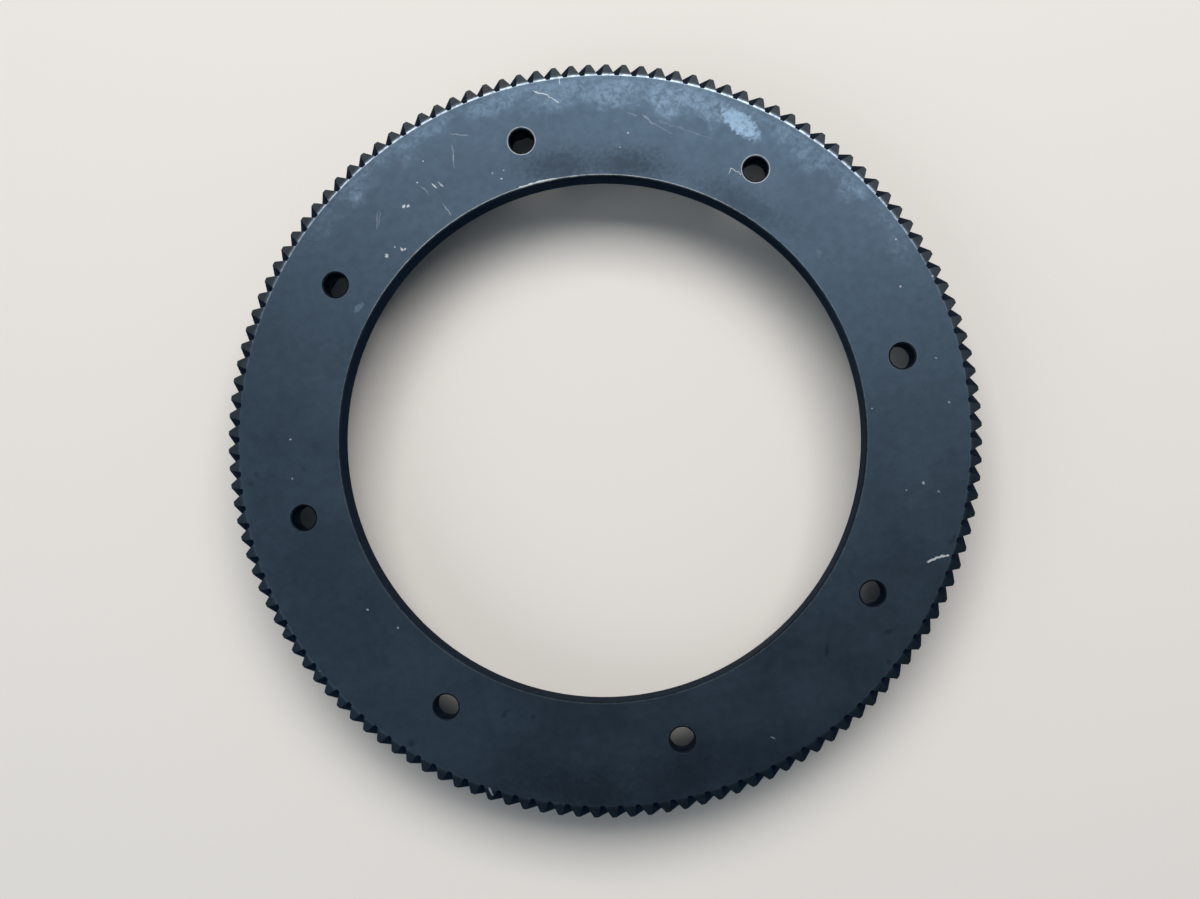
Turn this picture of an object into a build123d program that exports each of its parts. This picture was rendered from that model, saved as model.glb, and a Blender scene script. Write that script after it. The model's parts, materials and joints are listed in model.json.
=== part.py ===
from build123d import *
import math
import os

# A helical ring gear: one steel ring with a toothed rim, a thinner web inside
# it that lies level with the rim's upper face, a wide bore and a circle of bolt
# holes. All sizes are in millimetres. The origin is on the bore's axis, in the
# plane of the rim's lower face, with +Z towards the face that carries the web,
# and the first bolt hole lies on +X.

# Teeth, by the sizes in the plane square to a tooth
tooth_count = 132
normal_module = 1.5
normal_pressure_angle = 20.0
helix_angle = 21.5
addendum = 1.5
dedendum = 2.1
flank_ease = 0.08
tooth_lead = 0.2

# Rim and web
face_width = 30.0
rim_depth_below_teeth = 7.3
web_thickness = 10.0
bore_diameter = 150.0
bore_edge_break = 0.5
web_corner_chamfer = 1.5
rim_inner_edge_break = 1.0

# Tapered tooth ends
end_taper_angle = 25.0
end_taper_start = 0.35

# Bolt holes
bolt_hole_count = 8
bolt_hole_diameter = 7.0
bolt_hole_edge_break = 0.5
bore_to_bolt_circle = 13.5

# Sizes that follow from those above, in the plane square to the axis
helix = math.radians(helix_angle)
pitch_radius = tooth_count * normal_module / math.cos(helix) / 2
pressure_angle = math.atan(math.tan(math.radians(normal_pressure_angle)) / math.cos(helix))
base_radius = pitch_radius * math.cos(pressure_angle)
tip_radius = pitch_radius + addendum
root_radius = pitch_radius - dedendum
half_pitch = math.pi / tooth_count
turn_per_mm = math.tan(helix) / pitch_radius

bore_radius = bore_diameter / 2
bolt_hole_radius = bolt_hole_diameter / 2
bolt_circle_radius = bore_radius + bore_to_bolt_circle
rim_inner_radius = root_radius - rim_depth_below_teeth
web_underside = face_width - web_thickness
taper_radius = root_radius + end_taper_start
taper_drop = (tip_radius - taper_radius) * math.tan(math.radians(end_taper_angle))

# The cutter for a gap runs past both faces and past the tips by this much
overrun = 0.5
flank_points = 3
helix_sections = 3

# Edges this close to a named size count as lying on it
near = 0.001


def involute(angle):
    """Involute function of a pressure angle in radians."""
    return math.tan(angle) - angle


def gap_half_angle(radius):
    """Half of the angle between the two flanks of one gap at a radius."""
    flank_angle = math.acos(base_radius / radius)
    half_tooth = half_pitch / 2 - flank_ease / pitch_radius
    half_tooth += involute(pressure_angle) - involute(flank_angle)
    return half_pitch - half_tooth


def on_circle(radius, angle):
    """Point of a section at a radius and an angle in radians."""
    return (radius * math.cos(angle), radius * math.sin(angle))


def rings(part, radius, height):
    """Circular edges of a part that have this radius and lie at this height."""
    circles = part.edges().filter_by(GeomType.CIRCLE)
    same_radius = circles.filter_by(lambda edge: abs(edge.radius - radius) < near)
    return same_radius.filter_by(lambda edge: abs(edge.arc_center.Z - height) < near)


# One gap between two teeth: a section with two involute flanks and a root on a
# circle about the axis, carried down along the left-hand helix, so that the gap
# turns anticlockwise on its way down when it is seen from above
cutter_radius = tip_radius + overrun
flank_step = (cutter_radius - root_radius) / (flank_points - 1)
flank_radii = [root_radius + i * flank_step for i in range(flank_points)]
left_flank = [on_circle(r, gap_half_angle(r)) for r in flank_radii]
right_flank = [on_circle(r, -gap_half_angle(r)) for r in flank_radii]

first_section = -overrun
section_step = (face_width + 2 * overrun) / (helix_sections - 1)

with BuildPart() as gap_cutter:
    for i in range(helix_sections):
        height = first_section + i * section_step
        turn = math.radians(tooth_lead) + half_pitch + (face_width - height) * turn_per_mm
        across = (math.cos(turn), math.sin(turn), 0)
        with BuildSketch(Plane(origin=(0, 0, height), x_dir=across, z_dir=(0, 0, 1))):
            with BuildLine():
                Spline(*left_flank)
                ThreePointArc(left_flank[-1], (cutter_radius, 0), right_flank[-1])
                Spline(*right_flank)
                ThreePointArc(left_flank[0], (root_radius, 0), right_flank[0])
            make_face()
    loft()

# The ring: its turned section with the web, the recess under it and the
# tapered ends of the teeth, then the bolt holes, then the gaps
with BuildPart() as ring_gear:
    with BuildSketch(Plane.XZ):
        with BuildLine():
            Polyline(
                (bore_radius, web_underside),
                (bore_radius, face_width),
                (taper_radius, face_width),
                (tip_radius, face_width - taper_drop),
                (tip_radius, taper_drop),
                (taper_radius, 0),
                (rim_inner_radius, 0),
                (rim_inner_radius, web_underside),
                close=True,
            )
        make_face()
    revolve(axis=Axis.Z)
    chamfer(rings(ring_gear, rim_inner_radius, web_underside), length=web_corner_chamfer)
    chamfer(rings(ring_gear, rim_inner_radius, 0), length=rim_inner_edge_break)
    chamfer(rings(ring_gear, bore_radius, face_width), length=bore_edge_break)
    chamfer(rings(ring_gear, bore_radius, web_underside), length=bore_edge_break)

    with BuildSketch(Plane.XY.offset(face_width)):
        with PolarLocations(bolt_circle_radius, bolt_hole_count):
            Circle(bolt_hole_radius)
    extrude(amount=-web_thickness, mode=Mode.SUBTRACT)
    chamfer(rings(ring_gear, bolt_hole_radius, face_width), length=bolt_hole_edge_break)

    with PolarLocations(0, tooth_count):
        add(gap_cutter.part, mode=Mode.SUBTRACT)

ring_gear.part.label = "ring_gear"

os.makedirs("parts", exist_ok=True)
export_step(ring_gear.part, "parts/ring_gear.step")
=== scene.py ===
"""A helical ring gear in blackened steel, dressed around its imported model."""

import json
import logging
import math
from dataclasses import dataclass, field
from enum import Enum

import bmesh
import bpy
from mathutils import Matrix, Vector


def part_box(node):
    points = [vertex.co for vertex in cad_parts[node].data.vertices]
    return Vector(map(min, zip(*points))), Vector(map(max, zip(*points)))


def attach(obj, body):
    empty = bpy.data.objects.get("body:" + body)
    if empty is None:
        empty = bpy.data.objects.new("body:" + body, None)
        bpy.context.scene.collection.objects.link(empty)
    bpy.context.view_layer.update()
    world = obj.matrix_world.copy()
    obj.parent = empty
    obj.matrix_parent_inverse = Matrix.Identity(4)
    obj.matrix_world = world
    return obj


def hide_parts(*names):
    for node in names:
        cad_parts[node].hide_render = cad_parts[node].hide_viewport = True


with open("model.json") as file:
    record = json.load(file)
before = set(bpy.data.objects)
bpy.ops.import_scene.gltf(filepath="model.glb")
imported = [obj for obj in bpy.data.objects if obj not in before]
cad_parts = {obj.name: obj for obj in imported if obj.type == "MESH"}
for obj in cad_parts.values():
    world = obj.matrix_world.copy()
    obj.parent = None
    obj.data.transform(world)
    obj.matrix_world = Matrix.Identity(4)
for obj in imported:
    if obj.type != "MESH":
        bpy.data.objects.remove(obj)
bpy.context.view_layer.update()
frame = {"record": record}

LOG = logging.getLogger("ring_gear")
MM = 0.001
UP = Vector((0.0, 0.0, 1.0))
FULL_TURN = 2 * math.pi
GEAR = "ring_gear"

# The photograph is turned against the gear: its first bolt hole stands at this
# angle, anticlockwise from the picture's right-hand side
PICTURE_TURN = math.radians(15.06)

# What an input of a node takes: a socket to link, or a plain value
Value = bpy.types.NodeSocket | float | tuple[float, ...] | Vector


def linear(hex_colour: str) -> tuple[float, float, float, float]:
    """Turn an sRGB hex colour into linear RGBA.

    Args:
        hex_colour: six hex digits, with or without a leading hash.

    Returns:
        Linear red, green and blue, and an alpha of 1.
    """
    digits = hex_colour.lstrip("#")
    channels = [int(digits[i:i + 2], 16) / 255 for i in (0, 2, 4)]
    curve = [c / 12.92 if c <= 0.04045 else ((c + 0.055) / 1.055) ** 2.4 for c in channels]
    return (*curve, 1.0)


def mount(name: str) -> dict:
    """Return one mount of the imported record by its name."""
    return next(m for m in frame["record"]["mounts"] if m["name"] == name)


def polar(radius: float, angle: float, height: float = 0.0) -> Vector:
    """Return the point at a radius, an angle in radians and a height."""
    return Vector((radius * math.cos(angle), radius * math.sin(angle), height))


def new_object(name: str, bm: bmesh.types.BMesh) -> bpy.types.Object:
    """Turn a finished bmesh into an object of the scene, and free it.

    Args:
        name: the name of the object and of its mesh.
        bm: the finished bmesh.

    Returns:
        The new object.
    """
    mesh = bpy.data.meshes.new(name)
    bm.to_mesh(mesh)
    bm.free()
    made = bpy.data.objects.new(name, mesh)
    bpy.context.scene.collection.objects.link(made)
    return made


class Kind(Enum):
    """A kind of node: its Blender name, the inputs and the output in use, and its settings."""

    ABSOLUTE = ("ShaderNodeMath", (0,), 0, {"operation": "ABSOLUTE"})
    ADD = ("ShaderNodeMath", (0, 1), 0, {"operation": "ADD"})
    ARCTAN2 = ("ShaderNodeMath", (0, 1), 0, {"operation": "ARCTAN2"})
    COSINE = ("ShaderNodeMath", (0,), 0, {"operation": "COSINE"})
    MAXIMUM = ("ShaderNodeMath", (0, 1), 0, {"operation": "MAXIMUM"})
    MULTIPLY = ("ShaderNodeMath", (0, 1), 0, {"operation": "MULTIPLY"})
    MULTIPLY_ADD = ("ShaderNodeMath", (0, 1, 2), 0, {"operation": "MULTIPLY_ADD"})
    SINE = ("ShaderNodeMath", (0,), 0, {"operation": "SINE"})
    SUBTRACT = ("ShaderNodeMath", (0, 1), 0, {"operation": "SUBTRACT"})
    WRAP = ("ShaderNodeMath", (0, 1, 2), 0, {"operation": "WRAP"})

    LENGTH = ("ShaderNodeVectorMath", (0,), "Value", {"operation": "LENGTH"})
    VECTOR_ADD = ("ShaderNodeVectorMath", (0, 1), 0, {"operation": "ADD"})
    VECTOR_MULTIPLY = ("ShaderNodeVectorMath", (0, 1), 0, {"operation": "MULTIPLY"})
    VECTOR_SCALE = ("ShaderNodeVectorMath", (0, "Scale"), 0, {"operation": "SCALE"})
    VECTOR_SUBTRACT = ("ShaderNodeVectorMath", (0, 1), 0, {"operation": "SUBTRACT"})

    # A smooth step holds its ends by itself, so the ramp needs no clamping
    RAMP = (
        "ShaderNodeMapRange", ("Value", "From Min", "From Max", "To Min", "To Max"), "Result",
        {"interpolation_type": "SMOOTHSTEP", "clamp": False},
    )
    MIX = ("ShaderNodeMix", (0, 6, 7), 2, {"data_type": "RGBA"})
    NOISE = ("ShaderNodeTexNoise", ("Vector", "Scale", "Detail", "Roughness", "Distortion"), "Fac", {})
    BUMP = ("ShaderNodeBump", ("Strength", "Distance", "Height"), "Normal", {})
    COORDINATES = ("ShaderNodeTexCoord", (), "Object", {})
    SEPARATE = ("ShaderNodeSeparateXYZ", (0,), "Z", {})
    COMBINE = ("ShaderNodeCombineXYZ", (0, 1), 0, {})
    PLACED = (
        "ShaderNodeMapping", ("Vector", "Location", "Rotation", "Scale"), 0, {"vector_type": "TEXTURE"},
    )

    SURFACE = (
        "ShaderNodeBsdfPrincipled",
        ("Base Color", "Roughness", "Metallic", "Specular Tint", "Normal"), "BSDF", {},
    )
    BACKGROUND = ("ShaderNodeBackground", ("Color", "Strength"), "Background", {})
    MATERIAL_OUTPUT = ("ShaderNodeOutputMaterial", ("Surface",), None, {})
    WORLD_OUTPUT = ("ShaderNodeOutputWorld", ("Surface",), None, {})

    def __init__(
        self, blender_name: str, inputs: tuple[int | str, ...], output: int | str | None,
        settings: dict[str, str | bool],
    ) -> None:
        """Keep the parts of the kind under their names.

        Args:
            blender_name: Blender's name of the node type.
            inputs: the inputs in use, in the order in which values are given.
            output: the output in use, or None where the node has none.
            settings: the node's own properties.
        """
        self.blender_name = blender_name
        self.inputs = inputs
        self.output = output
        self.settings = settings


@dataclass
class Shader:
    """The nodes of a material or of the world."""

    owner: bpy.types.Material | bpy.types.World

    def __post_init__(self) -> None:
        """Start from an empty node tree."""
        self.owner.use_nodes = True
        self.owner.node_tree.nodes.clear()

    def add(self, kind: Kind, *values: Value) -> bpy.types.NodeSocket | None:
        """Add a node with its settings, and link or set its inputs.

        Args:
            kind: the kind of node.
            values: what the inputs in use take, in their order.

        Returns:
            The output in use, or None where the node has none.
        """
        tree = self.owner.node_tree
        node = tree.nodes.new(kind.blender_name)
        for name, setting in kind.settings.items():
            setattr(node, name, setting)
        for key, value in zip(kind.inputs, values):
            if isinstance(value, bpy.types.NodeSocket):
                tree.links.new(value, node.inputs[key])
            else:
                node.inputs[key].default_value = value
        return None if kind.output is None else node.outputs[kind.output]


@dataclass
class ToothForm:
    """The form of one tooth, by its sizes in the plane square to the axis."""

    tip_radius: float
    width: float
    count: int = 132
    addendum: float = 1.5 * MM
    helix: float = math.radians(21.5)
    normal_pressure_angle: float = math.radians(20.0)
    dedendum: float = 2.1 * MM
    flank_ease: float = 0.08 * MM
    lead: float = math.radians(0.2)
    taper: float = math.radians(25.0)
    taper_start: float = 0.35 * MM

    @property
    def pitch_radius(self) -> float:
        """Radius of the pitch circle."""
        return self.tip_radius - self.addendum

    @property
    def half_pitch(self) -> float:
        """Half of the angle from one tooth to the next."""
        return math.pi / self.count

    @property
    def pressure_angle(self) -> float:
        """Pressure angle in the plane square to the axis."""
        return math.atan(math.tan(self.normal_pressure_angle) / math.cos(self.helix))

    @property
    def base_radius(self) -> float:
        """Radius of the circle that the involutes unwind from."""
        return self.pitch_radius * math.cos(self.pressure_angle)

    @property
    def root_radius(self) -> float:
        """Radius at the bottom of the gaps."""
        return self.pitch_radius - self.dedendum

    @property
    def taper_radius(self) -> float:
        """Radius at which the taper of the tooth ends meets the flat face."""
        return self.root_radius + self.taper_start

    def half_angle(self, radius: float) -> float:
        """Work out how thick the tooth is at a radius.

        Args:
            radius: the distance from the axis.

        Returns:
            Half of the tooth's angle there, in radians.
        """
        flank = math.acos(self.base_radius / radius)
        ease = self.flank_ease / self.pitch_radius
        grown = math.tan(self.pressure_angle) - self.pressure_angle - math.tan(flank) + flank
        return self.half_pitch / 2 - ease + grown

    def turn(self, height: float) -> float:
        """Return the tooth's angle at a height: left-handed, so it grows on the way down."""
        return self.lead + (self.width - height) * math.tan(self.helix) / self.pitch_radius

    def drop(self, radius: float) -> float:
        """Work out the tapered end, with its rounded start.

        Args:
            radius: the distance from the axis.

        Returns:
            How far the end lies under the flat face there.
        """
        reach = self.taper_radius - self.root_radius
        rounding = reach / math.tan(self.taper / 2)
        along = radius - self.root_radius
        if along <= 0:
            return 0.0
        if along < rounding * math.sin(self.taper):
            return rounding - math.sqrt(rounding ** 2 - along ** 2)
        return (radius - self.taper_radius) * math.tan(self.taper)


@dataclass(frozen=True)
class Chip:
    """A small chip: its angle in degrees in the picture, then millimetres."""

    angle: float
    radius: float
    height: float
    size: float


@dataclass
class RingGear:
    """The gear: one pitch of its whole section, wound, repeated round the axis and drilled."""

    tooth: ToothForm
    bore_radius: float
    bolt_circle_radius: float
    hole_radius: float
    hole_count: int
    chips: tuple[Chip, ...] = ()
    web_thickness: float = 10.0 * MM
    rim_depth: float = 7.3 * MM
    web_corner: float = 2.5 * MM
    edge_break: float = 0.5 * MM
    rim_edge_break: float = 1.0 * MM
    tooth_edge: float = 0.1 * MM

    # How finely the round forms are divided
    winding_steps: int = 10
    corner_steps: int = 6
    hole_steps: int = 64
    edge_segments: int = 2

    # Points of a flank: shares of its rounded start, which reaches this many
    # taper starts outwards, and then shares of the rest of the way to the tip
    rounded_reach: float = 1.9
    rounded_shares: tuple[float, ...] = (0.0, 0.25, 0.5, 0.75, 1.0)
    flank_shares: tuple[float, ...] = (0.35, 0.7, 1.0)

    # The plain windings stay this many softened edges clear of the tapered ends
    end_clearance: float = 3.0

    # Edges of a tooth over the first angle are softened, and edges of the whole
    # gear over the second stay crisp
    soften_angle: float = math.radians(28.0)
    crisp_angle: float = math.radians(40.0)
    face_area_weight: int = 100
    merge: float = 0.001 * MM

    @property
    def web_underside(self) -> float:
        """Height of the web's lower face."""
        return self.tooth.width - self.web_thickness

    @property
    def rim_inner_radius(self) -> float:
        """Radius of the wall of the recess under the web."""
        return self.tooth.root_radius - self.rim_depth

    def flank_radii(self) -> list[float]:
        """Choose the points of one flank, closer together where the end is rounded.

        Returns:
            Their radii from the root to the tip.
        """
        root, tip = self.tooth.root_radius, self.tooth.tip_radius
        reach = self.tooth.taper_start * self.rounded_reach
        rounded = [root + reach * share for share in self.rounded_shares]
        rest = [root + reach + (tip - root - reach) * share for share in self.flank_shares]
        return rounded + rest

    def inner_profile(self) -> list[tuple[float, float]]:
        """Draw the section's inner side, from the upper face round to the lower.

        Returns:
            The radius and height of each of its points.
        """
        top, under, wall = self.tooth.width, self.web_underside, self.rim_inner_radius
        bore, edge, corner = self.bore_radius, self.edge_break, self.web_corner
        rounded = []
        for step in range(self.corner_steps + 1):
            angle = math.radians(90 - 90 / self.corner_steps * step)
            across = wall - corner + corner * math.cos(angle)
            rounded.append((across, under - corner + corner * math.sin(angle)))
        return [
            (bore + edge, top), (bore, top - edge), (bore, under + edge), (bore + edge, under),
            *rounded, (wall, self.rim_edge_break), (wall + self.rim_edge_break, 0.0),
        ]

    def build(self) -> bpy.types.Object:
        """Build the whole gear.

        Returns:
            One object with one closed mesh.
        """
        bm = bmesh.new()
        self.one_pitch(bm)
        self.soften_tooth_edges(bm)
        bmesh.ops.spin(
            bm, geom=bm.verts[:] + bm.edges[:] + bm.faces[:], cent=(0, 0, 0), axis=UP,
            angle=FULL_TURN, steps=self.tooth.count, use_duplicate=True, use_merge=True,
        )
        bmesh.ops.remove_doubles(bm, verts=bm.verts[:], dist=self.merge)
        bmesh.ops.recalc_face_normals(bm, faces=bm.faces[:])
        for vert in bm.verts:
            vert.co.z = min(max(vert.co.z, 0.0), self.tooth.width)
        gear = new_object(GEAR + "_steel", bm)
        self.cut(gear)
        self.shade(gear)
        return gear

    def cut(self, gear: bpy.types.Object) -> None:
        """Cut the bolt holes, with their broken edges, and the chips.

        Args:
            gear: the object to cut.
        """
        tool = new_object("drill", self.drills())
        cutting = gear.modifiers.new("drilled", "BOOLEAN")
        cutting.operation = "DIFFERENCE"
        cutting.solver = "EXACT"
        cutting.object = tool
        depsgraph = bpy.context.evaluated_depsgraph_get()
        drilled = bpy.data.meshes.new_from_object(gear.evaluated_get(depsgraph))
        gear.modifiers.clear()
        gear.data = drilled
        bpy.data.objects.remove(tool)

    def drills(self) -> bmesh.types.BMesh:
        """Make one turned cutter for each bolt hole, and a small faceted one for each chip.

        Returns:
            A bmesh with all the cutters.
        """
        top, under, edge, hole = self.tooth.width, self.web_underside, self.edge_break, self.hole_radius
        mouth = hole + 2 * edge
        profile = [
            (0.0, top + edge), (mouth, top + edge), (hole, top - edge),
            (hole, under + edge), (mouth, under - edge), (0.0, under - edge),
        ]
        bm = bmesh.new()
        verts = [bm.verts.new((radius, 0.0, height)) for radius, height in profile]
        edges = [bm.edges.new(pair) for pair in zip(verts, verts[1:])]
        bmesh.ops.spin(
            bm, geom=verts + edges, cent=(0, 0, 0), axis=UP, angle=FULL_TURN, steps=self.hole_steps,
            use_duplicate=False, use_merge=True,
        )
        bmesh.ops.translate(bm, verts=bm.verts[:], vec=(self.bolt_circle_radius, 0, 0))
        bmesh.ops.spin(
            bm, geom=bm.verts[:] + bm.edges[:] + bm.faces[:], cent=(0, 0, 0), axis=UP,
            angle=FULL_TURN * (self.hole_count - 1) / self.hole_count, steps=self.hole_count - 1,
            use_duplicate=True, use_merge=False,
        )
        bmesh.ops.remove_doubles(bm, verts=bm.verts[:], dist=self.merge)
        for chip in self.chips:
            place = polar(chip.radius * MM, math.radians(chip.angle) - PICTURE_TURN, chip.height * MM)
            bmesh.ops.create_icosphere(
                bm, subdivisions=1, radius=chip.size * MM, matrix=Matrix.Translation(place),
            )
        bmesh.ops.recalc_face_normals(bm, faces=bm.faces[:])
        return bm

    def shade(self, gear: bpy.types.Object) -> None:
        """Shade round forms smooth and keep real corners and flat faces crisp.

        Args:
            gear: the object to shade.
        """
        bm = bmesh.new()
        bm.from_mesh(gear.data)
        for face in bm.faces:
            face.smooth = True
        for edge in bm.edges:
            edge.smooth = len(edge.link_faces) == 2 and edge.calc_face_angle() < self.crisp_angle
        bm.to_mesh(gear.data)
        bm.free()
        weighted = gear.modifiers.new("flat_faces_stay_flat", "WEIGHTED_NORMAL")
        weighted.keep_sharp = True
        weighted.weight = self.face_area_weight

    def one_pitch(self, bm: bmesh.types.BMesh) -> None:
        """Model one pitch of the gear, open on its two sides only.

        Args:
            bm: the empty bmesh that takes it.
        """
        tooth = self.tooth
        radii = self.flank_radii()
        low = tooth.turn(0.0)
        outline = [polar(tooth.root_radius, low - tooth.half_pitch)]
        outline += [polar(r, low - tooth.half_angle(r)) for r in radii]
        outline += [polar(r, low + tooth.half_angle(r)) for r in reversed(radii)]
        outline.append(polar(tooth.root_radius, low + tooth.half_pitch))
        first_ring = ring = [bm.verts.new(point) for point in outline]
        edges = [bm.edges.new(pair) for pair in zip(ring, ring[1:])]
        depth = tooth.drop(tooth.tip_radius) + self.end_clearance * self.tooth_edge
        step = (tooth.width - 2 * depth) / (self.winding_steps - 2)
        heights = [depth + step * i for i in range(self.winding_steps - 1)] + [tooth.width]
        below = 0.0
        for height in heights:
            turn = tooth.turn(height) - tooth.turn(below)
            ring, edges = self.extrude_ring(bm, ring, edges, turn, height - below)
            below = height
        self.fit_taper(first_ring, 1.0)
        self.fit_taper(ring, -1.0)
        self.cap_tooth(bm, first_ring)
        self.cap_tooth(bm, ring)
        last_root = self.inner_side(bm, ring)
        bottom_root = self.root_chain(first_ring)
        for upper, lower in zip(zip(last_root, last_root[1:]), zip(bottom_root, bottom_root[1:])):
            bm.faces.new((upper[0], upper[1], lower[1], lower[0]))
        bmesh.ops.recalc_face_normals(bm, faces=bm.faces[:])

    def extrude_ring(
        self, bm: bmesh.types.BMesh, ring: list[bmesh.types.BMVert],
        edges: list[bmesh.types.BMEdge], turn: float, rise: float,
    ) -> tuple[list[bmesh.types.BMVert], list[bmesh.types.BMEdge]]:
        """Extrude a chain of edges, turn it about the axis and lift it.

        Args:
            bm: the mesh being built.
            ring: the chain's vertices in order.
            edges: the chain's edges.
            turn: angle about the axis in radians.
            rise: distance along the axis.

        Returns:
            The new chain's vertices in the same order, and its edges.
        """
        result = bmesh.ops.extrude_edge_only(bm, edges=edges)["geom"]
        verts = [g for g in result if isinstance(g, bmesh.types.BMVert)]
        new_edges = [g for g in result if isinstance(g, bmesh.types.BMEdge)]
        ordered = [min(verts, key=lambda v: (v.co - old.co).length) for old in ring]
        assert len(set(ordered)) == len(ring)
        bmesh.ops.rotate(bm, verts=verts, cent=(0, 0, 0), matrix=Matrix.Rotation(turn, 3, "Z"))
        bmesh.ops.translate(bm, verts=verts, vec=UP * rise)
        return ordered, new_edges

    def fit_taper(self, ring: list[bmesh.types.BMVert], side: float) -> None:
        """Slide the vertices of an end ring along the helix, onto the tapered end.

        Args:
            ring: the end ring's vertices.
            side: 1 to slide up from the lower face, -1 to slide down from the upper.
        """
        for vert in ring:
            shift = side * self.tooth.drop(vert.co.xy.length)
            turn = self.tooth.turn(vert.co.z + shift) - self.tooth.turn(vert.co.z)
            vert.co = Matrix.Rotation(turn, 3, "Z") @ vert.co + UP * shift

    def cap_tooth(self, bm: bmesh.types.BMesh, ring: list[bmesh.types.BMVert]) -> None:
        """Close the end of the tooth with a row of faces across it.

        Args:
            bm: the mesh being built.
            ring: the end ring's vertices in order.
        """
        flank = len(self.flank_radii())
        left = ring[1:1 + flank]
        right = list(reversed(ring[1 + flank:1 + 2 * flank]))
        for i in range(flank - 1):
            bm.faces.new((left[i], left[i + 1], right[i + 1], right[i]))

    def root_chain(self, ring: list[bmesh.types.BMVert]) -> list[bmesh.types.BMVert]:
        """Return the four vertices of an end ring that lie on the flat face."""
        return [ring[0], ring[1], ring[-2], ring[-1]]

    def inner_side(
        self, bm: bmesh.types.BMesh, ring: list[bmesh.types.BMVert],
    ) -> list[bmesh.types.BMVert]:
        """Carry the flat face's edge in, round the web and the recess, to the lower face.

        Args:
            bm: the mesh being built.
            ring: the upper end ring.

        Returns:
            The last chain, next to the lower face's toothed edge.
        """
        chain = self.root_chain(ring)
        edges = [bm.edges.get(pair) or bm.edges.new(pair) for pair in zip(chain, chain[1:])]
        height = self.tooth.width
        for radius, next_height in self.inner_profile():
            turn = self.tooth.turn(next_height) - self.tooth.turn(height)
            chain, edges = self.extrude_ring(bm, chain, edges, turn, next_height - height)
            for vert in chain:
                vert.co.xy = vert.co.xy.normalized() * radius
            height = next_height
        return chain

    def soften_tooth_edges(self, bm: bmesh.types.BMesh) -> None:
        """Round the sharp outer edges of the tooth and its ends.

        Args:
            bm: the mesh being built.
        """
        sharp = [
            e for e in bm.edges
            if len(e.link_faces) == 2 and e.calc_face_angle() > self.soften_angle
            and min(v.co.xy.length for v in e.verts) > self.tooth.root_radius - self.merge
            and e.is_convex
        ]
        bmesh.ops.bevel(
            bm, geom=sharp, offset=self.tooth_edge, offset_type="OFFSET", affect="EDGES",
            segments=self.edge_segments, profile=0.5, material=-1, clamp_overlap=True,
        )


@dataclass(frozen=True)
class Lamp:
    """An oblong lamp: its place in the picture's own directions, and its size, power and colour."""

    name: str
    place: tuple[float, float, float]
    size: tuple[float, float]
    power: float
    colour: str


@dataclass
class Studio:
    """Floor, lamps and camera."""

    # The camera, as it was fitted to the photograph: its lens, its place over
    # the gear in millimetres, and its tilt away from straight down in radians
    image_width: int = 1200
    focal_pixels: float = 1350.0
    sensor_width: float = 36.0
    eye: tuple[float, float, float] = (14.85, -16.02, 414.22)
    pitch: float = -0.03267
    yaw: float = -0.03943

    floor_half_width: float = 2.0
    floor_colour: str = "#D9D6D0"
    floor_roughness: float = 0.9
    world_colour: str = "#C2D1E0"
    world_strength: float = 0.26
    lamps: tuple[Lamp, ...] = (
        Lamp("window", (0.06, 0.66, 1.24), (1.25, 0.7), 25.0, "#F3EFED"),
        Lamp("wall", (-0.75, -0.38, 0.95), (0.8, 0.8), 3.2, "#DCE4EA"),
    )

    def place_camera(self) -> bpy.types.Object:
        """Create the camera at the photograph's place over the gear.

        Returns:
            The camera.
        """
        data = bpy.data.cameras.new("camera")
        data.sensor_fit = "HORIZONTAL"
        data.sensor_width = self.sensor_width
        data.lens = data.sensor_width * self.focal_pixels / self.image_width
        camera = bpy.data.objects.new("camera", data)
        bpy.context.scene.collection.objects.link(camera)
        tilt = Matrix.Rotation(self.pitch, 4, "X") @ Matrix.Rotation(self.yaw, 4, "Y")
        picture = Matrix.Translation(Vector(self.eye) * MM) @ tilt.transposed()
        camera.matrix_world = Matrix.Rotation(-PICTURE_TURN, 4, "Z") @ picture
        bpy.context.scene.camera = camera
        return camera

    def lay_floor(self) -> bpy.types.Object:
        """Lay the plain pale floor under the gear.

        Returns:
            The floor.
        """
        bm = bmesh.new()
        bmesh.ops.create_grid(bm, x_segments=1, y_segments=1, size=self.floor_half_width)
        floor = new_object("floor", bm)
        material = bpy.data.materials.new("pale_floor")
        shader = Shader(material)
        surface = shader.add(Kind.SURFACE, linear(self.floor_colour), self.floor_roughness)
        shader.add(Kind.MATERIAL_OUTPUT, surface)
        floor.data.materials.append(material)
        return floor

    def hang(self, lamp: Lamp) -> None:
        """Hang one lamp, aimed at the gear's middle.

        Args:
            lamp: the lamp to hang.
        """
        data = bpy.data.lights.new(lamp.name, "AREA")
        data.shape = "RECTANGLE"
        data.size, data.size_y = lamp.size
        data.energy = lamp.power
        data.color = linear(lamp.colour)[:3]
        hung = bpy.data.objects.new(lamp.name, data)
        bpy.context.scene.collection.objects.link(hung)
        hung.location = Matrix.Rotation(-PICTURE_TURN, 3, "Z") @ Vector(lamp.place)
        hung.rotation_euler = (-hung.location).to_track_quat("-Z", "Y").to_euler()

    def light(self) -> None:
        """Set the world and the lamps."""
        world = bpy.data.worlds.new("studio")
        shader = Shader(world)
        shader.add(
            Kind.WORLD_OUTPUT,
            shader.add(Kind.BACKGROUND, linear(self.world_colour), self.world_strength),
        )
        bpy.context.scene.world = world
        for lamp in self.lamps:
            self.hang(lamp)


class Tone(Enum):
    """What a mark on the blackened surface is."""

    # Bright steel; the streak along the bore's edge in this tone is a painted highlight
    BARE = "rubbed or cut down to bright steel"
    DUSTY = "pale, dry smear"
    # Dark stains; the large soft marks in this tone are painted shade
    DARK = "dark stain"


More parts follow.
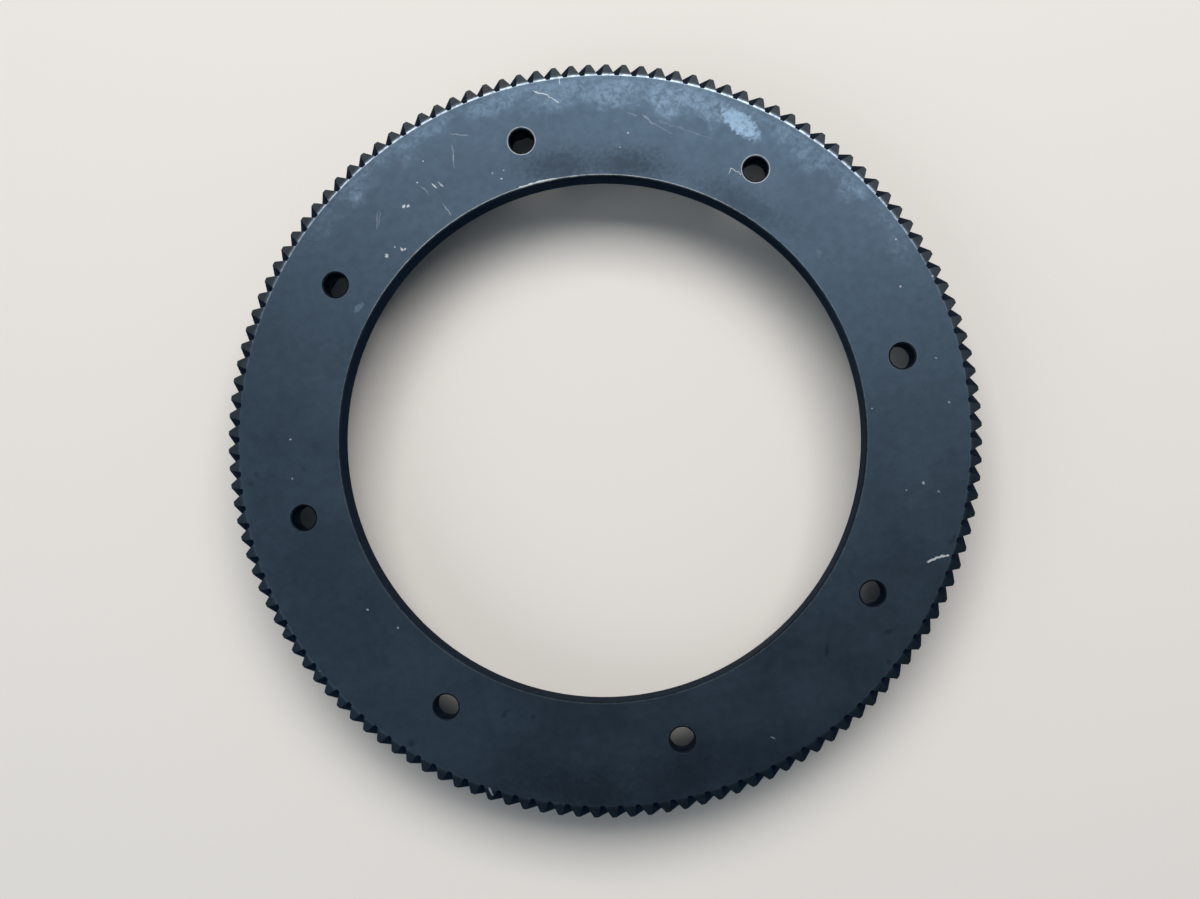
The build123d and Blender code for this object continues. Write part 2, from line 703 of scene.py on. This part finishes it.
@dataclass(frozen=True)
class Mark:
    """A mark on the upper side, from one point to another.

    Each point is an angle in degrees in the picture and a radius in
    millimetres, and the width is in millimetres. The core is the share of the
    mark's half-width that keeps its full strength.
    """

    tone: Tone
    start: tuple[float, float]
    end: tuple[float, float]
    width: float
    strength: float = 1.0
    core: float = 0.75

    def placed(self) -> tuple[Vector, float, float]:
        """Work out where the mark lies in the gear's own frame.

        Returns:
            Its middle, its direction in radians and its length in metres.
        """
        ends = [
            polar(radius * MM, math.radians(angle) - PICTURE_TURN)
            for angle, radius in (self.start, self.end)
        ]
        along = ends[1] - ends[0]
        length = along.length + self.width * MM
        return (ends[0] + ends[1]) / 2, math.atan2(along.y, along.x), length


def spot(
    tone: Tone, angle: float, radius: float, width: float, strength: float = 1.0, core: float = 0.75,
) -> Mark:
    """Return a round mark."""
    return Mark(tone, (angle, radius), (angle, radius), width, strength, core)


# Three in tooth tips, and one in the rim's upper edge
CHIPS = (
    Chip(165.8, 107.8, 28.7, 0.6), Chip(168.5, 107.9, 28.6, 0.55), Chip(201.3, 107.8, 28.8, 0.65),
    Chip(219.8, 104.9, 30.1, 0.4),
)

MARKS = (
    # Scratches and nicks, and the bright streak along the bore's edge, which is a painted highlight
    Mark(Tone.BARE, (108.2, 75.6), (104.5, 75.75), 0.45),
    Mark(Tone.BARE, (105.0, 75.75), (100.2, 75.6), 0.6),
    Mark(Tone.BARE, (100.9, 101.6), (98.9, 99.9), 0.3, 0.8),
    Mark(Tone.BARE, (98.9, 99.9), (97.1, 97.1), 0.28, 0.6),
    Mark(Tone.BARE, (96.7, 104.0), (96.7, 102.9), 0.3, 0.6),
    Mark(Tone.BARE, (341.2, 103.4), (340.3, 100.6), 0.6, 0.75),
    Mark(Tone.BARE, (340.3, 100.8), (339.2, 98.8), 0.8, 0.75),
    Mark(Tone.BARE, (123.7, 87.8), (123.3, 86.4), 0.4, 0.45),
    Mark(Tone.BARE, (122.5, 87.2), (122.1, 85.6), 0.4, 0.3),
    Mark(Tone.BARE, (64.3, 85.4), (61.9, 85.3), 0.24, 0.4),
    Mark(Tone.BARE, (64.4, 85.5), (64.1, 83.9), 0.24, 0.4),
    Mark(Tone.BARE, (299.4, 97.1), (299.9, 97.9), 0.4, 0.25),
    Mark(Tone.BARE, (253.0, 106.0), (252.4, 104.6), 0.6, 0.7),
    Mark(Tone.BARE, (137.0, 88.5), (134.6, 92.0), 0.35, 0.08),
    Mark(Tone.BARE, (136.3, 88.8), (134.0, 91.8), 0.35, 0.06),
    Mark(Tone.BARE, (124.1, 81.2), (124.0, 77.5), 0.45, 0.12),
    Mark(Tone.BARE, (125.6, 89.6), (125.2, 86.0), 0.35, 0.1),
    Mark(Tone.BARE, (118.5, 88.9), (117.0, 94.7), 0.35, 0.12),
    Mark(Tone.BARE, (116.5, 98.1), (114.0, 95.4), 0.35, 0.1),
    Mark(Tone.BARE, (85.4, 93.8), (83.6, 92.8), 0.35, 0.08),
    Mark(Tone.BARE, (82.7, 93.5), (80.7, 91.3), 0.5, 0.08),
    Mark(Tone.BARE, (80.9, 91.7), (76.8, 89.4), 0.4, 0.04),
    Mark(Tone.BARE, (80.0, 92.4), (69.5, 91.2), 0.4, 0.03),
    # Specks
    spot(Tone.BARE, 130.4, 87.8, 1.01, 0.55),
    spot(Tone.BARE, 129.8, 86.9, 0.72, 0.55),
    spot(Tone.BARE, 139.7, 81.0, 1.08, 0.44),
    spot(Tone.BARE, 136.6, 79.0, 0.79, 0.5),
    spot(Tone.BARE, 136.0, 78.4, 0.72, 0.5),
    spot(Tone.BARE, 137.3, 80.9, 0.45, 0.55),
    spot(Tone.BARE, 110.0, 81.9, 0.45, 0.39),
    spot(Tone.BARE, 111.1, 79.8, 0.5, 0.55),
    spot(Tone.BARE, 112.3, 82.5, 0.45, 0.28),
    spot(Tone.BARE, 122.8, 94.9, 0.5, 0.55),
    spot(Tone.BARE, 125.8, 90.7, 0.58, 0.33),
    spot(Tone.BARE, 85.0, 87.7, 0.45, 0.22),
    spot(Tone.BARE, 86.3, 83.5, 0.45, 0.17),
    spot(Tone.BARE, 33.8, 100.9, 0.5, 0.55),
    spot(Tone.BARE, 5.7, 98.9, 0.65, 0.24),
    spot(Tone.BARE, 13.3, 97.4, 0.58, 0.2),
    spot(Tone.BARE, 6.0, 77.0, 0.5, 0.4),
    spot(Tone.BARE, 26.7, 95.1, 0.65, 0.28),
    spot(Tone.BARE, 187.5, 89.6, 0.65, 0.4),
    spot(Tone.BARE, 180.2, 89.4, 0.5, 0.4),
    spot(Tone.BARE, 216.4, 83.0, 0.72, 0.4),
    spot(Tone.BARE, 223.1, 79.6, 0.65, 0.4),
    spot(Tone.BARE, 351.9, 91.9, 0.65, 0.4),
    spot(Tone.BARE, 350.8, 96.5, 0.58, 0.2),
    spot(Tone.BARE, 350.1, 87.6, 0.65, 0.2),
    spot(Tone.BARE, 305.6, 105.0, 0.58, 0.4),
    spot(Tone.BARE, 219.7, 104.6, 0.58, 0.16),
    spot(Tone.BARE, 25.9, 104.7, 0.65, 0.55),
    # Pale smears
    Mark(Tone.DUSTY, (68.0, 99.4), (64.0, 97.6), 5.6),
    Mark(Tone.DUSTY, (152.4, 79.6), (151.0, 79.0), 1.6, 0.5),
    Mark(Tone.DUSTY, (136.0, 99.9), (135.0, 98.9), 2.4, 0.4, 0.0),
    Mark(Tone.DUSTY, (44.3, 102.2), (42.3, 101.2), 3.0, 0.4, 0.0),
    Mark(Tone.DUSTY, (40.8, 81.8), (39.8, 81.0), 1.8, 0.25, 0.0),
    # Small dark stains, then large soft dark patches: painted shade that darkens the face's reflection
    # along the inner ring at the top and the outer ring at the bottom
    Mark(Tone.DARK, (250.5, 83.8), (251.0, 82.4), 1.8, 0.4, 0.2),
    Mark(Tone.DARK, (326.6, 98.7), (325.2, 97.2), 1.6, 0.4, 0.2),
    Mark(Tone.DARK, (316.0, 88.4), (317.6, 86.4), 1.6, 0.4, 0.2),
    Mark(Tone.DARK, (344.6, 103.4), (342.4, 102.8), 1.8, 0.4, 0.2),
    spot(Tone.DARK, 238.2, 102.6, 2.4, 0.4, 0.2),
    spot(Tone.DARK, 187.4, 101.8, 2.6, 0.4, 0.2),
    spot(Tone.DARK, 186.0, 99.8, 1.8, 0.28, 0.2),
    spot(Tone.DARK, 186.2, 85.8, 1.2, 0.4, 0.2),
    spot(Tone.DARK, 321.9, 103.0, 1.8, 0.4, 0.2),
    spot(Tone.DARK, 256.3, 81.8, 1.8, 0.4, 0.2),
    spot(Tone.DARK, 213.6, 83.0, 1.5, 0.4, 0.2),
    spot(Tone.DARK, 271.8, 94.5, 1.0, 0.4, 0.2),
    # Painted shade: large soft darkenings of the face's reflection
    Mark(Tone.DARK, (104.0, 80.0), (92.0, 78.5), 13.0, 0.6, 0.0),
    Mark(Tone.DARK, (92.0, 78.5), (78.0, 79.5), 13.0, 0.65, 0.0),
    Mark(Tone.DARK, (70.0, 79.0), (50.0, 79.0), 12.0, 0.45, 0.0),
    Mark(Tone.DARK, (260.0, 101.0), (276.0, 101.0), 16.0, 0.45, 0.0),
    Mark(Tone.DARK, (272.0, 99.0), (292.0, 101.0), 18.0, 0.3, 0.0),
)


@dataclass(frozen=True)
class Grain:
    """Cloudy noise whose lumps have a real size in metres, and the values that bound its crisp form."""

    size: float
    detail: float
    rough: float
    low: float = 0.0
    high: float = 1.0
    twist: float = 0.0

    def inputs(self) -> tuple[float, float, float, float]:
        """Return the noise's scale, detail, roughness and distortion."""
        return 1.0 / self.size, self.detail, self.rough, self.twist


@dataclass(frozen=True)
class Stretch:
    """A stretch round the ring, in degrees in the picture.

    It counts in full as far as one half-width from its middle, and has faded
    out at the other.
    """

    middle: float
    full: float
    fade: float


@dataclass(frozen=True)
class EdgeHighlight:
    """A broken pale line along an edge: a painted highlight, broken as by use.

    The floor is how much of the line is left where it is broken most. Its
    strength is the most in its stretch, and the least away from it.
    """

    width: float
    floor: float
    stretch: Stretch
    least: float
    most: float


@dataclass(frozen=True)
class HazeAndSheenBelt:
    """A belt of hazing and painted sheen along the rim, which grows from one radius to another."""

    stretch: Stretch
    start: float
    full: float
    strength: float


@dataclass
class BlackenedSteel(Shader):
    """Carbon steel, turned and hobbed, then blackened in a hot salt bath and oiled.

    To the eye the thin oxide is near black with a cool cast, and it still
    reflects softly, as metal does. Handling rubs it to a pale hazing, and
    scratches and specks show the bright steel. On the upper side of the picture,
    where the light falls, painted light lies over this: painted sheen in the
    hazing, lighter painted tooth ends, and painted highlights along the edges of
    the rim, the bore and the holes; large soft dark patches are painted shade.
    """

    gear: RingGear

    # The oxide, plain, in its lighter patches and at a grazing view, then the
    # colour of the stains and of the patches of painted shade, and of the dry
    # smears and of the hazing with its painted sheen
    oxide: str = "#2B3641"
    oxide_light: str = "#33404C"
    grazing: str = "#8E9499"
    stain_and_shade: str = "#191F25"
    pale_smear_and_sheen: str = "#5A6D7E"

    # Thin on the milled tooth ends, painted lighter on the lit upper side; the
    # painted highlight along the rim's edge, broken as by rubbing; and gone, in
    # scratches and specks, and in the painted highlights and glint along the bore
    # and hole edges
    cut: str = "#4A5257"
    rubbed_highlight: str = "#7C8893"
    bare_and_glint: str = "#C3CACD"
    rust: str = "#5A463F"

    # Roughness of the oxide, the least and most that its clouds change it, and
    # what the hazing with its painted sheen, the milled ends and the painted rim
    # highlight add to it
    roughness: float = 0.42
    smoother: float = -0.03
    rougher: float = 0.04
    haze_roughness: float = 0.06
    ends_roughness: float = 0.2
    rubbed_roughness: float = -0.08
    scratched_roughness: float = 0.75

    # Unevenness of the oxide, in shares of the way to its lighter colour
    clouds: Grain = Grain(22.0 * MM, 3.0, 0.55, 0.3, 0.7)
    clouds_share: float = 0.9
    mottle: Grain = Grain(3.0 * MM, 4.0, 0.6, 0.32, 0.68)
    mottle_share: float = 0.45
    ends_mottle: Grain = Grain(3.0 * MM, 4.0, 0.6, 0.3, 0.65)

    # The real surface has a grit of a few hundredths of a millimetre, too fine
    # to show, so it is drawn about ten times as coarse
    grit: Grain = Grain(0.35 * MM, 2.0, 0.5)
    grit_height: float = 0.01 * MM
    grit_strength: float = 0.25

    # Hazing, partly real and partly painted sheen on the lit upper side: how far
    # its edge wanders, its belts, where it thins next to the rim's edge, and its
    # patches and wisps. The real wisps are fine wiping marks, drawn a few times as
    # coarse so that they show
    drift: Grain = Grain(8.0 * MM, 3.0, 0.55)
    drift_reach: float = 16.0 * MM
    belts: tuple[HazeAndSheenBelt, HazeAndSheenBelt] = (
        HazeAndSheenBelt(Stretch(84.0, 12.0, 26.0), 93.0 * MM, 98.5 * MM, 1.0),
        HazeAndSheenBelt(Stretch(88.0, 40.0, 68.0), 96.0 * MM, 102.0 * MM, 0.75),
    )
    thin_start: float = 102.4 * MM
    thin_end: float = 103.8 * MM
    thin_share: float = 0.5
    patches: Grain = Grain(8.0 * MM, 2.0, 0.5, 0.35, 0.62)
    patches_floor: float = 0.55
    wisps: Grain = Grain(1.7 * MM, 6.0, 0.66, 0.32, 0.7, 0.5)
    wisps_floor: float = 0.1
    haze_and_sheen_share: float = 0.72

    # Marks: how they bend, how ragged their outline is and where they end, in
    # half-widths from their middle, and the mottle of the smears
    bend: Grain = Grain(1.2 * MM, 2.0, 0.5)
    bend_reach: float = 1.1 * MM
    ragged: Grain = Grain(1.3 * MM, 4.0, 0.65)
    ragged_reach: float = 0.8
    mark_end: float = 1.2
    smear: Grain = Grain(1.6 * MM, 5.0, 0.65, 0.3, 0.6)
    smear_floor: float = 0.35

    # Painted highlights along the edges, strongest on the lit upper side and
    # broken as by use. A line along a broken edge lies at this share of its width
    breaks: Grain = Grain(1.5 * MM, 3.0, 0.6, 0.3, 0.65)
    # Painted highlight along the rim's rounded edge
    rim_highlight_line: EdgeHighlight = EdgeHighlight(1.0 * MM, 0.45, Stretch(98.0, 32.0, 86.0), 0.06, 1.0)
    # Painted highlights and glint along the bore's and the holes' edges
    bore_highlight_line: EdgeHighlight = EdgeHighlight(0.36 * MM, 0.35, Stretch(104.0, 24.0, 62.0), 0.1, 0.45)
    hole_highlight_line: EdgeHighlight = EdgeHighlight(0.32 * MM, 0.6, Stretch(84.0, 30.0, 72.0), 0.04, 0.8)
    line_share: float = 0.9
    # The brightest stretches of the bore's painted highlight: painted glint
    bore_glint: tuple[Stretch, Stretch] = (Stretch(104.0, 3.5, 6.0), Stretch(96.0, 0.6, 1.2))

    # Milled tooth ends, greyer and rougher where their oxide is thin, painted in
    # mostly on the lit upper side, where this is painted light: where round the
    # ring that is, how much of it is left elsewhere and in their mottle, the width
    # over which it sets in, and how far up a surface has to face
    ends_lit_stretch: Stretch = Stretch(96.0, 50.0, 130.0)
    ends_least: float = 0.1
    ends_floor: float = 0.7
    ends_edge: float = 0.4 * MM
    ends_facing: tuple[float, float] = (0.6, 0.8)

    # Rust on a few teeth
    rusty: tuple[Stretch, Stretch] = (Stretch(109.4, 1.4, 2.4), Stretch(105.5, 0.8, 1.5))
    rust_start: float = 104.6 * MM
    rust_full: float = 105.2 * MM
    rust_share: float = 0.22

    # How far below and above the upper face marks, the hazing and the painted
    # highlight lines reach, and over what height they fade
    marks_reach: float = 2.0 * MM
    marks_fade: float = 0.2 * MM
    haze_below: float = 0.1 * MM
    haze_above: float = 1.0 * MM
    line_below: float = 0.6 * MM
    line_full: float = 0.5 * MM

    # Where a point of the gear lies: itself, its height over the lower face,
    # its distance from the axis, its angle, and the way its surface faces
    point: bpy.types.NodeSocket = field(init=False)
    height: bpy.types.NodeSocket = field(init=False)
    radius: bpy.types.NodeSocket = field(init=False)
    angle: bpy.types.NodeSocket = field(init=False)
    facing: bpy.types.NodeSocket = field(init=False)

    def __post_init__(self) -> None:
        """Start from an empty node tree and the coordinates."""
        super().__post_init__()
        self.point = self.add(Kind.COORDINATES)
        self.facing = self.point.node.outputs["Normal"]
        self.height = self.add(Kind.SEPARATE, self.point)
        flat = self.add(Kind.VECTOR_MULTIPLY, self.point, (1.0, 1.0, 0.0))
        self.radius = self.add(Kind.LENGTH, flat)
        parts = self.height.node.outputs
        self.angle = self.add(Kind.ARCTAN2, parts["Y"], parts["X"])

    def build(self) -> None:
        """Build the material's nodes."""
        top = self.gear.tooth.width
        upper = self.band(self.height, top - self.marks_reach, top + self.marks_reach, self.marks_fade)

        clouds = self.add(Kind.NOISE, self.point, *self.clouds.inputs())
        cloudy = self.add(Kind.MULTIPLY, clouds, self.clouds_share)
        light = self.add(Kind.MULTIPLY_ADD, self.crisp(self.mottle), self.mottle_share, cloudy)
        colour = self.add(Kind.MIX, light, linear(self.oxide), linear(self.oxide_light))
        rough = self.add(
            Kind.RAMP, clouds, self.clouds.low, self.clouds.high,
            self.roughness + self.smoother, self.roughness + self.rougher,
        )

        # Hazing, partly real and partly painted sheen on the lit upper side
        haze_and_sheen = self.haze_and_sheen()
        haze_and_sheen_mix = self.add(Kind.MULTIPLY, haze_and_sheen, self.haze_and_sheen_share)
        colour = self.add(Kind.MIX, haze_and_sheen_mix, colour, linear(self.pale_smear_and_sheen))
        rough = self.add(Kind.MULTIPLY_ADD, haze_and_sheen, self.haze_roughness, rough)

        # Milled tooth ends, greyer and rougher, painted in mostly on the lit upper side as painted light
        ends = self.tooth_ends_and_light()
        colour = self.add(Kind.MIX, ends, colour, linear(self.cut))
        rough = self.add(Kind.MULTIPLY_ADD, ends, self.ends_roughness, rough)

        bent = self.add(Kind.VECTOR_ADD, self.point, self.wobble())
        # Dark stains, and large soft patches of painted shade
        stained_and_shaded = self.add(Kind.MULTIPLY, self.marks(Tone.DARK, bent), upper)
        colour = self.add(Kind.MIX, stained_and_shaded, colour, linear(self.stain_and_shade))
        smeared = self.add(Kind.MULTIPLY, self.marks(Tone.DUSTY, bent), upper)
        smeared = self.add(Kind.MULTIPLY, smeared, self.crisp(self.smear, self.smear_floor))
        colour = self.add(Kind.MIX, smeared, colour, linear(self.pale_smear_and_sheen))
        scratched = self.add(Kind.MULTIPLY, self.marks(Tone.BARE, bent), upper)

        # Scratches, then the painted highlights along the rim's edge and along the bore and hole edges,
        # broken as by use
        for worn_and_lit, shade, finish in (
            (scratched, self.bare_and_glint, self.scratched_roughness),
            (self.rim_highlight_and_wear(), self.rubbed_highlight, self.roughness + self.rubbed_roughness),
            (self.bore_highlights_and_glint(), self.bare_and_glint, self.scratched_roughness),
        ):
            colour = self.add(Kind.MIX, worn_and_lit, colour, linear(shade))
            change = self.add(Kind.SUBTRACT, finish, rough)
            rough = self.add(Kind.MULTIPLY_ADD, worn_and_lit, change, rough)
        colour = self.add(Kind.MIX, self.rust_tint(), colour, linear(self.rust))

        grit = self.add(Kind.NOISE, self.point, *self.grit.inputs())
        relief = self.add(Kind.BUMP, self.grit_strength, self.grit_height, grit)
        surface = self.add(Kind.SURFACE, colour, rough, 1.0, linear(self.grazing), relief)
        self.add(Kind.MATERIAL_OUTPUT, surface)

    def crisp(self, grain: Grain, floor: float = 0.0) -> bpy.types.NodeSocket:
        """Carry a grain's noise from its floor to 1, between its low and its high value.

        Args:
            grain: the noise.
            floor: the result where the noise is low.

        Returns:
            The result.
        """
        noise = self.add(Kind.NOISE, self.point, *grain.inputs())
        return self.add(Kind.RAMP, noise, grain.low, grain.high, floor, 1.0)

    def band(self, value: Value, low: float, high: float, fade: float) -> bpy.types.NodeSocket:
        """Tell whether a value lies between two limits.

        Args:
            value: the value.
            low: the lower limit.
            high: the upper limit.
            fade: the width over which the result changes at each limit.

        Returns:
            1 between the limits and 0 outside them.
        """
        rising = self.add(Kind.RAMP, value, low - fade / 2, low + fade / 2, 0.0, 1.0)
        falling = self.add(Kind.RAMP, value, high - fade / 2, high + fade / 2, 1.0, 0.0)
        return self.add(Kind.MULTIPLY, rising, falling)

    def around(self, stretch: Stretch) -> bpy.types.NodeSocket:
        """Tell whether a point lies in a stretch of the ring.

        Args:
            stretch: the stretch.

        Returns:
            1 in the stretch, fading to 0.
        """
        centre = math.radians(stretch.middle) - PICTURE_TURN
        shifted = self.add(Kind.SUBTRACT, self.angle, centre)
        away = self.add(Kind.ABSOLUTE, self.add(Kind.WRAP, shifted, math.pi, -math.pi))
        full, fade = math.radians(stretch.full), math.radians(stretch.fade)
        return self.add(Kind.RAMP, away, full, fade, 1.0, 0.0)

    def wobble(self) -> bpy.types.NodeSocket:
        """Make a small shift that keeps the marks from being plain ovals.

        Returns:
            The shift, as a vector.
        """
        cloud = self.add(Kind.NOISE, self.point, *self.bend.inputs()).node.outputs["Color"]
        centred = self.add(Kind.VECTOR_SUBTRACT, cloud, (0.5, 0.5, 0.5))
        return self.add(Kind.VECTOR_SCALE, centred, self.bend_reach)

    def haze_and_sheen(self) -> bpy.types.NodeSocket:
        """Draw the pale hazing along the rim, on the upper half of the picture, where the light falls:
        partly real, partly painted sheen.

        Returns:
            Its mask.
        """
        top = self.gear.tooth.width
        upper = self.band(self.height, top - self.haze_below, top + self.haze_above, self.haze_below)
        noise = self.add(Kind.NOISE, self.point, *self.drift.inputs())
        drift = self.add(Kind.MULTIPLY, self.add(Kind.SUBTRACT, noise, 0.5), self.drift_reach)
        edge = self.add(Kind.ADD, self.radius, drift)
        belts = []
        for belt in self.belts:
            near = self.around(belt.stretch)
            grown = self.add(Kind.RAMP, edge, belt.start, belt.full, 0.0, belt.strength)
            belts.append(self.add(Kind.MULTIPLY, near, grown))
        reach = self.add(Kind.MAXIMUM, *belts)
        thin = self.add(Kind.RAMP, self.radius, self.thin_start, self.thin_end, 1.0, self.thin_share)
        reach = self.add(Kind.MULTIPLY, reach, thin)
        wisps = self.crisp(self.wisps, self.wisps_floor)
        patches = self.crisp(self.patches, self.patches_floor)
        texture = self.add(Kind.MULTIPLY, wisps, patches)
        return self.add(Kind.MULTIPLY, self.add(Kind.MULTIPLY, reach, upper), texture)

    def marks(self, tone: Tone, point: bpy.types.NodeSocket) -> bpy.types.NodeSocket:
        """Draw every mark of one tone.

        Args:
            tone: the tone.
            point: the place on the gear, bent a little.

        Returns:
            Their mask.
        """
        noise = self.add(Kind.NOISE, self.point, *self.ragged.inputs())
        ragged = self.add(Kind.MULTIPLY_ADD, noise, 2 * self.ragged_reach, -self.ragged_reach)
        total = None
        for mark in (m for m in MARKS if m.tone is tone):
            middle, direction, length = mark.placed()
            scale = (length / 2, mark.width / 2 * MM, 1.0)
            local = self.add(Kind.PLACED, point, middle, (0.0, 0.0, direction), scale)
            reach = self.add(Kind.ADD, self.add(Kind.LENGTH, local), ragged)
            mask = self.add(Kind.RAMP, reach, mark.core, self.mark_end, mark.strength, 0.0)
            total = mask if total is None else self.add(Kind.MAXIMUM, total, mask)
        return total

    def edge_highlight_line(self, edge: Value, middle: float, line: EdgeHighlight) -> bpy.types.NodeSocket:
        """Draw a fine, broken pale line along an edge of the upper face: a painted highlight.

        Args:
            edge: the distance that the edge is measured by.
            middle: the line's middle, by that distance.
            line: the line.

        Returns:
            Its mask, the same all round the ring.
        """
        top = self.gear.tooth.width
        drawn = self.band(edge, middle - line.width / 2, middle + line.width / 2, line.width / 3)
        near_top = self.add(Kind.RAMP, self.height, top - self.line_below, top - self.line_full, 0.0, 1.0)
        broken = self.crisp(self.breaks, line.floor)
        return self.add(Kind.MULTIPLY, self.add(Kind.MULTIPLY, drawn, near_top), broken)

    def lit_side_strength(self, line: EdgeHighlight) -> bpy.types.NodeSocket:
        """Return how strong a painted highlight line is round the ring, strongest on the lit upper side.
        """
        return self.add(Kind.RAMP, self.around(line.stretch), 0.0, 1.0, line.least, line.most)

    def rim_highlight_and_wear(self) -> bpy.types.NodeSocket:
        """Draw the painted highlight along the rounded edge between the flat face and the tooth ends,
        strongest on the lit upper side and broken as by use.

        Returns:
            Its mask.
        """
        line = self.edge_highlight_line(self.radius, self.gear.tooth.taper_radius, self.rim_highlight_line)
        return self.add(Kind.MULTIPLY, line, self.lit_side_strength(self.rim_highlight_line))

    def bore_highlights_and_glint(self) -> bpy.types.NodeSocket:
        """Draw the painted highlights and glint along the broken edges of the bore and of the bolt holes,
        strongest on the lit upper side and broken as by use.

        Returns:
            Their mask.
        """
        gear = self.gear
        inset = gear.edge_break * self.line_share
        bore = self.edge_highlight_line(self.radius, gear.bore_radius + inset, self.bore_highlight_line)
        long = self.lit_side_strength(self.bore_highlight_line)
        # The painted glint on the brightest stretches of the bore's edge
        bright = self.add(Kind.MAXIMUM, *[self.around(stretch) for stretch in self.bore_glint])
        bore = self.add(Kind.MULTIPLY, bore, self.add(Kind.MAXIMUM, long, bright))

        # All the holes at once: the ring is folded onto the stretch round one
        half = math.pi / gear.hole_count
        folded = self.add(Kind.WRAP, self.angle, half, -half)
        x = self.add(Kind.MULTIPLY, self.radius, self.add(Kind.COSINE, folded))
        y = self.add(Kind.MULTIPLY, self.radius, self.add(Kind.SINE, folded))
        offset = self.add(Kind.COMBINE, self.add(Kind.SUBTRACT, x, gear.bolt_circle_radius), y)
        reach = self.add(Kind.LENGTH, offset)
        hole = self.edge_highlight_line(reach, gear.hole_radius + inset, self.hole_highlight_line)
        hole = self.add(Kind.MULTIPLY, hole, self.lit_side_strength(self.hole_highlight_line))
        return self.add(Kind.MAXIMUM, bore, hole)

    def tooth_ends_and_light(self) -> bpy.types.NodeSocket:
        """Draw the milled tapers at the ends of the teeth, where the oxide is thin and greyer; painted in
        mostly on the lit upper side, where this is painted light.

        Returns:
            Their mask.
        """
        start = self.gear.tooth.taper_radius
        outside = self.add(Kind.RAMP, self.radius, start, start + self.ends_edge, 0.0, 1.0)
        upward = self.add(Kind.SEPARATE, self.facing)
        mottle = self.crisp(self.ends_mottle, self.ends_floor)
        near = self.add(Kind.RAMP, self.around(self.ends_lit_stretch), 0.0, 1.0, self.ends_least, 1.0)
        worn_and_lit = self.add(Kind.MULTIPLY, mottle, near)
        turned = self.add(Kind.RAMP, upward, *self.ends_facing, 0.0, 1.0)
        return self.add(Kind.MULTIPLY, self.add(Kind.MULTIPLY, outside, turned), worn_and_lit)

    def rust_tint(self) -> bpy.types.NodeSocket:
        """Draw the faint rust on a few teeth at the top of the picture.

        Returns:
            Its mask.
        """
        teeth = self.add(Kind.RAMP, self.radius, self.rust_start, self.rust_full, 0.0, 1.0)
        place = self.add(Kind.MAXIMUM, *[self.around(stretch) for stretch in self.rusty])
        return self.add(Kind.MULTIPLY, self.add(Kind.MULTIPLY, teeth, place), self.rust_share)


def main() -> None:
    """Build the gear and its studio."""
    logging.basicConfig(level=logging.INFO, format="%(name)s: %(message)s")
    bpy.context.scene.view_settings.view_transform = "Standard"
    bore, bolts = mount("bore")["dims"], mount("bolt_circle")["dims"]
    low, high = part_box(GEAR)
    form = ToothForm(tip_radius=high[0], width=high[2] - low[2])
    design = RingGear(
        tooth=form, bore_radius=bore["r_mm"] * MM, bolt_circle_radius=bolts["pcd_mm"] / 2 * MM,
        hole_radius=bolts["hole_r_mm"] * MM, hole_count=bolts["count"], chips=CHIPS,
    )
    gear = design.build()
    steel = bpy.data.materials.new("blackened_steel")
    BlackenedSteel(steel, design).build()
    gear.data.materials.clear()
    gear.data.materials.append(steel)
    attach(gear, "root")
    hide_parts(GEAR)
    LOG.info("gear: %d faces", len(gear.data.polygons))
    studio = Studio()
    studio.place_camera()
    studio.lay_floor()
    studio.light()
    LOG.info("studio: %d lamps", len(studio.lamps))


if __name__ == "__main__":
    main()
